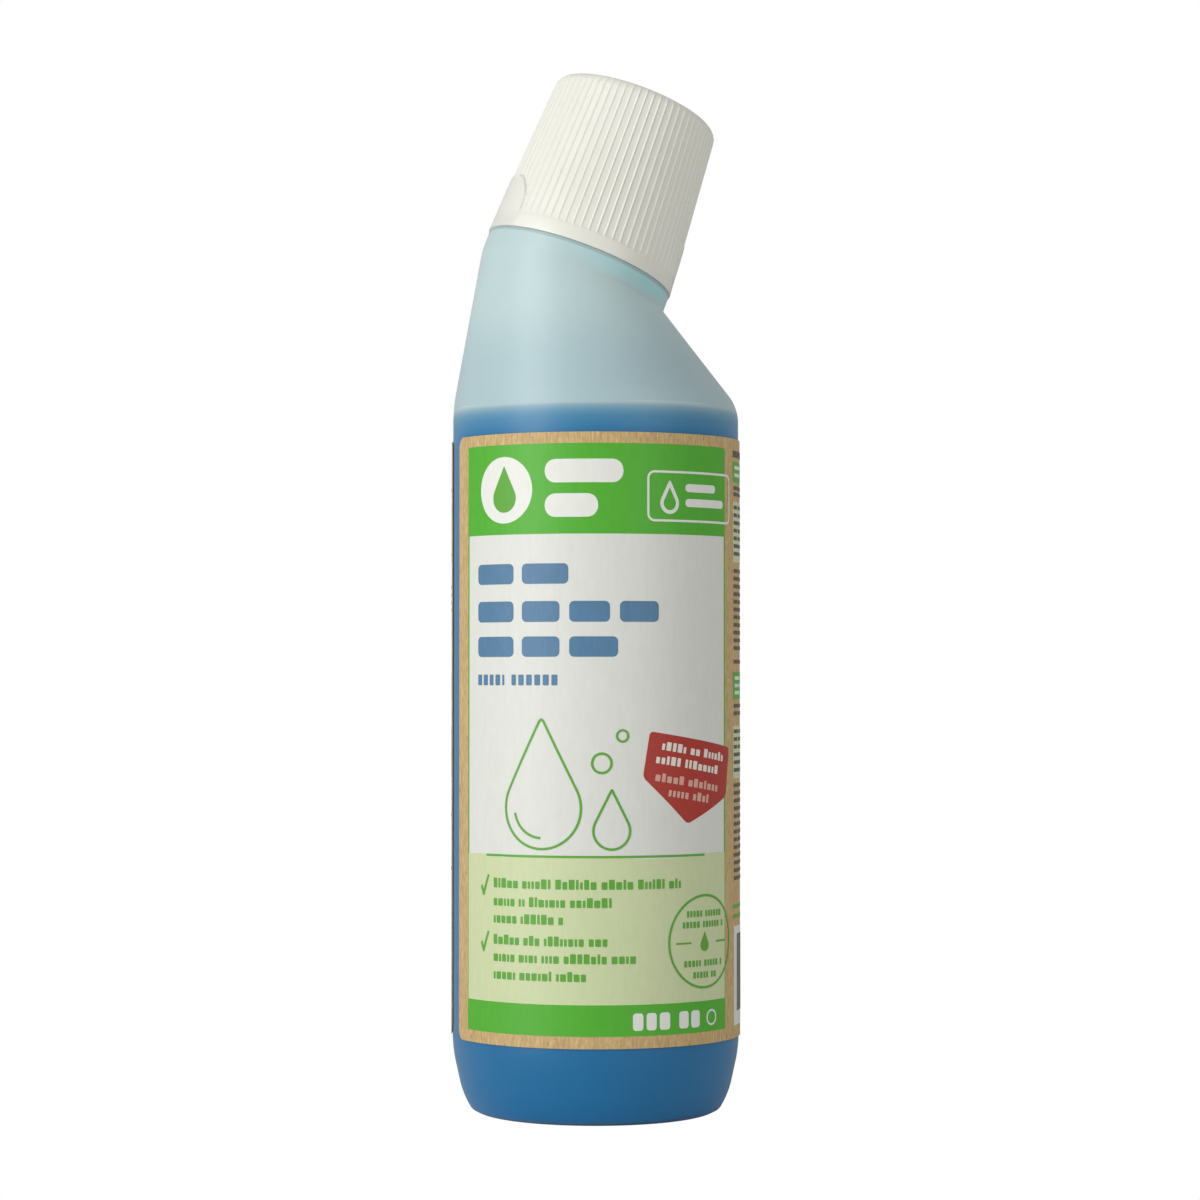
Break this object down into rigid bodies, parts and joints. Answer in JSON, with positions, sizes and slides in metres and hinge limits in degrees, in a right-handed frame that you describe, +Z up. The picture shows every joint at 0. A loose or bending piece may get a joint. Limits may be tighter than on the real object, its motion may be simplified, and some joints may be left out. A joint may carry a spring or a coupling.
{
  "type": "toilet cleaner bottle",
  "caption": "Round translucent squeeze bottle of blue toilet gel with an angled neck, kraft paper wrap label, pouring nozzle and tall ribbed squeeze-and-turn screw cap.",
  "frame": {"origin": "centre of the base ring, on the surface the bottle stands on", "axes": "+Z up along the body's axis, +X the way the neck leans"},
  "size_m": [0.0662, 0.0662, 0.2373],
  "materials": {
    "bottle_plastic": "translucent blow-moulded polyethylene, satin",
    "blue_gel": "coloured gel seen through the wall",
    "label_paper": "kraft-look wrap label with printed colour fields",
    "nozzle_plastic": "natural low-density polyethylene, satin",
    "seal_foam": "closed-cell foam wad, matt",
    "cap_plastic": "white moulded polypropylene, satin"
  },
  "bodies": {
    "bottle": {"bottle": "bottle_plastic", "toilet_gel": "blue_gel", "label": "label_paper", "nozzle_insert": "nozzle_plastic"},
    "cap_seal": {"cap_seal": "seal_foam"},
    "cap": {"screw_cap": "cap_plastic"}
  },
  "joints": [
    {"name": "cap_rise", "type": "slide", "parent": "bottle", "child": "cap_seal", "axis": [0.3535, 0, 0.9354], "range_m": [0, 0.00635]},
    {"name": "cap_turn", "type": "hinge", "parent": "cap_seal", "child": "cap", "pos_m": [-0.004, 0, 0.1941], "axis": [0.3535, 0, 0.9354], "range_deg": [0, 540]}
  ],
  "couplings": [
    {"joint": "cap_rise", "follows": "cap_turn", "m_per_rad": 0.00067323}
  ]
}
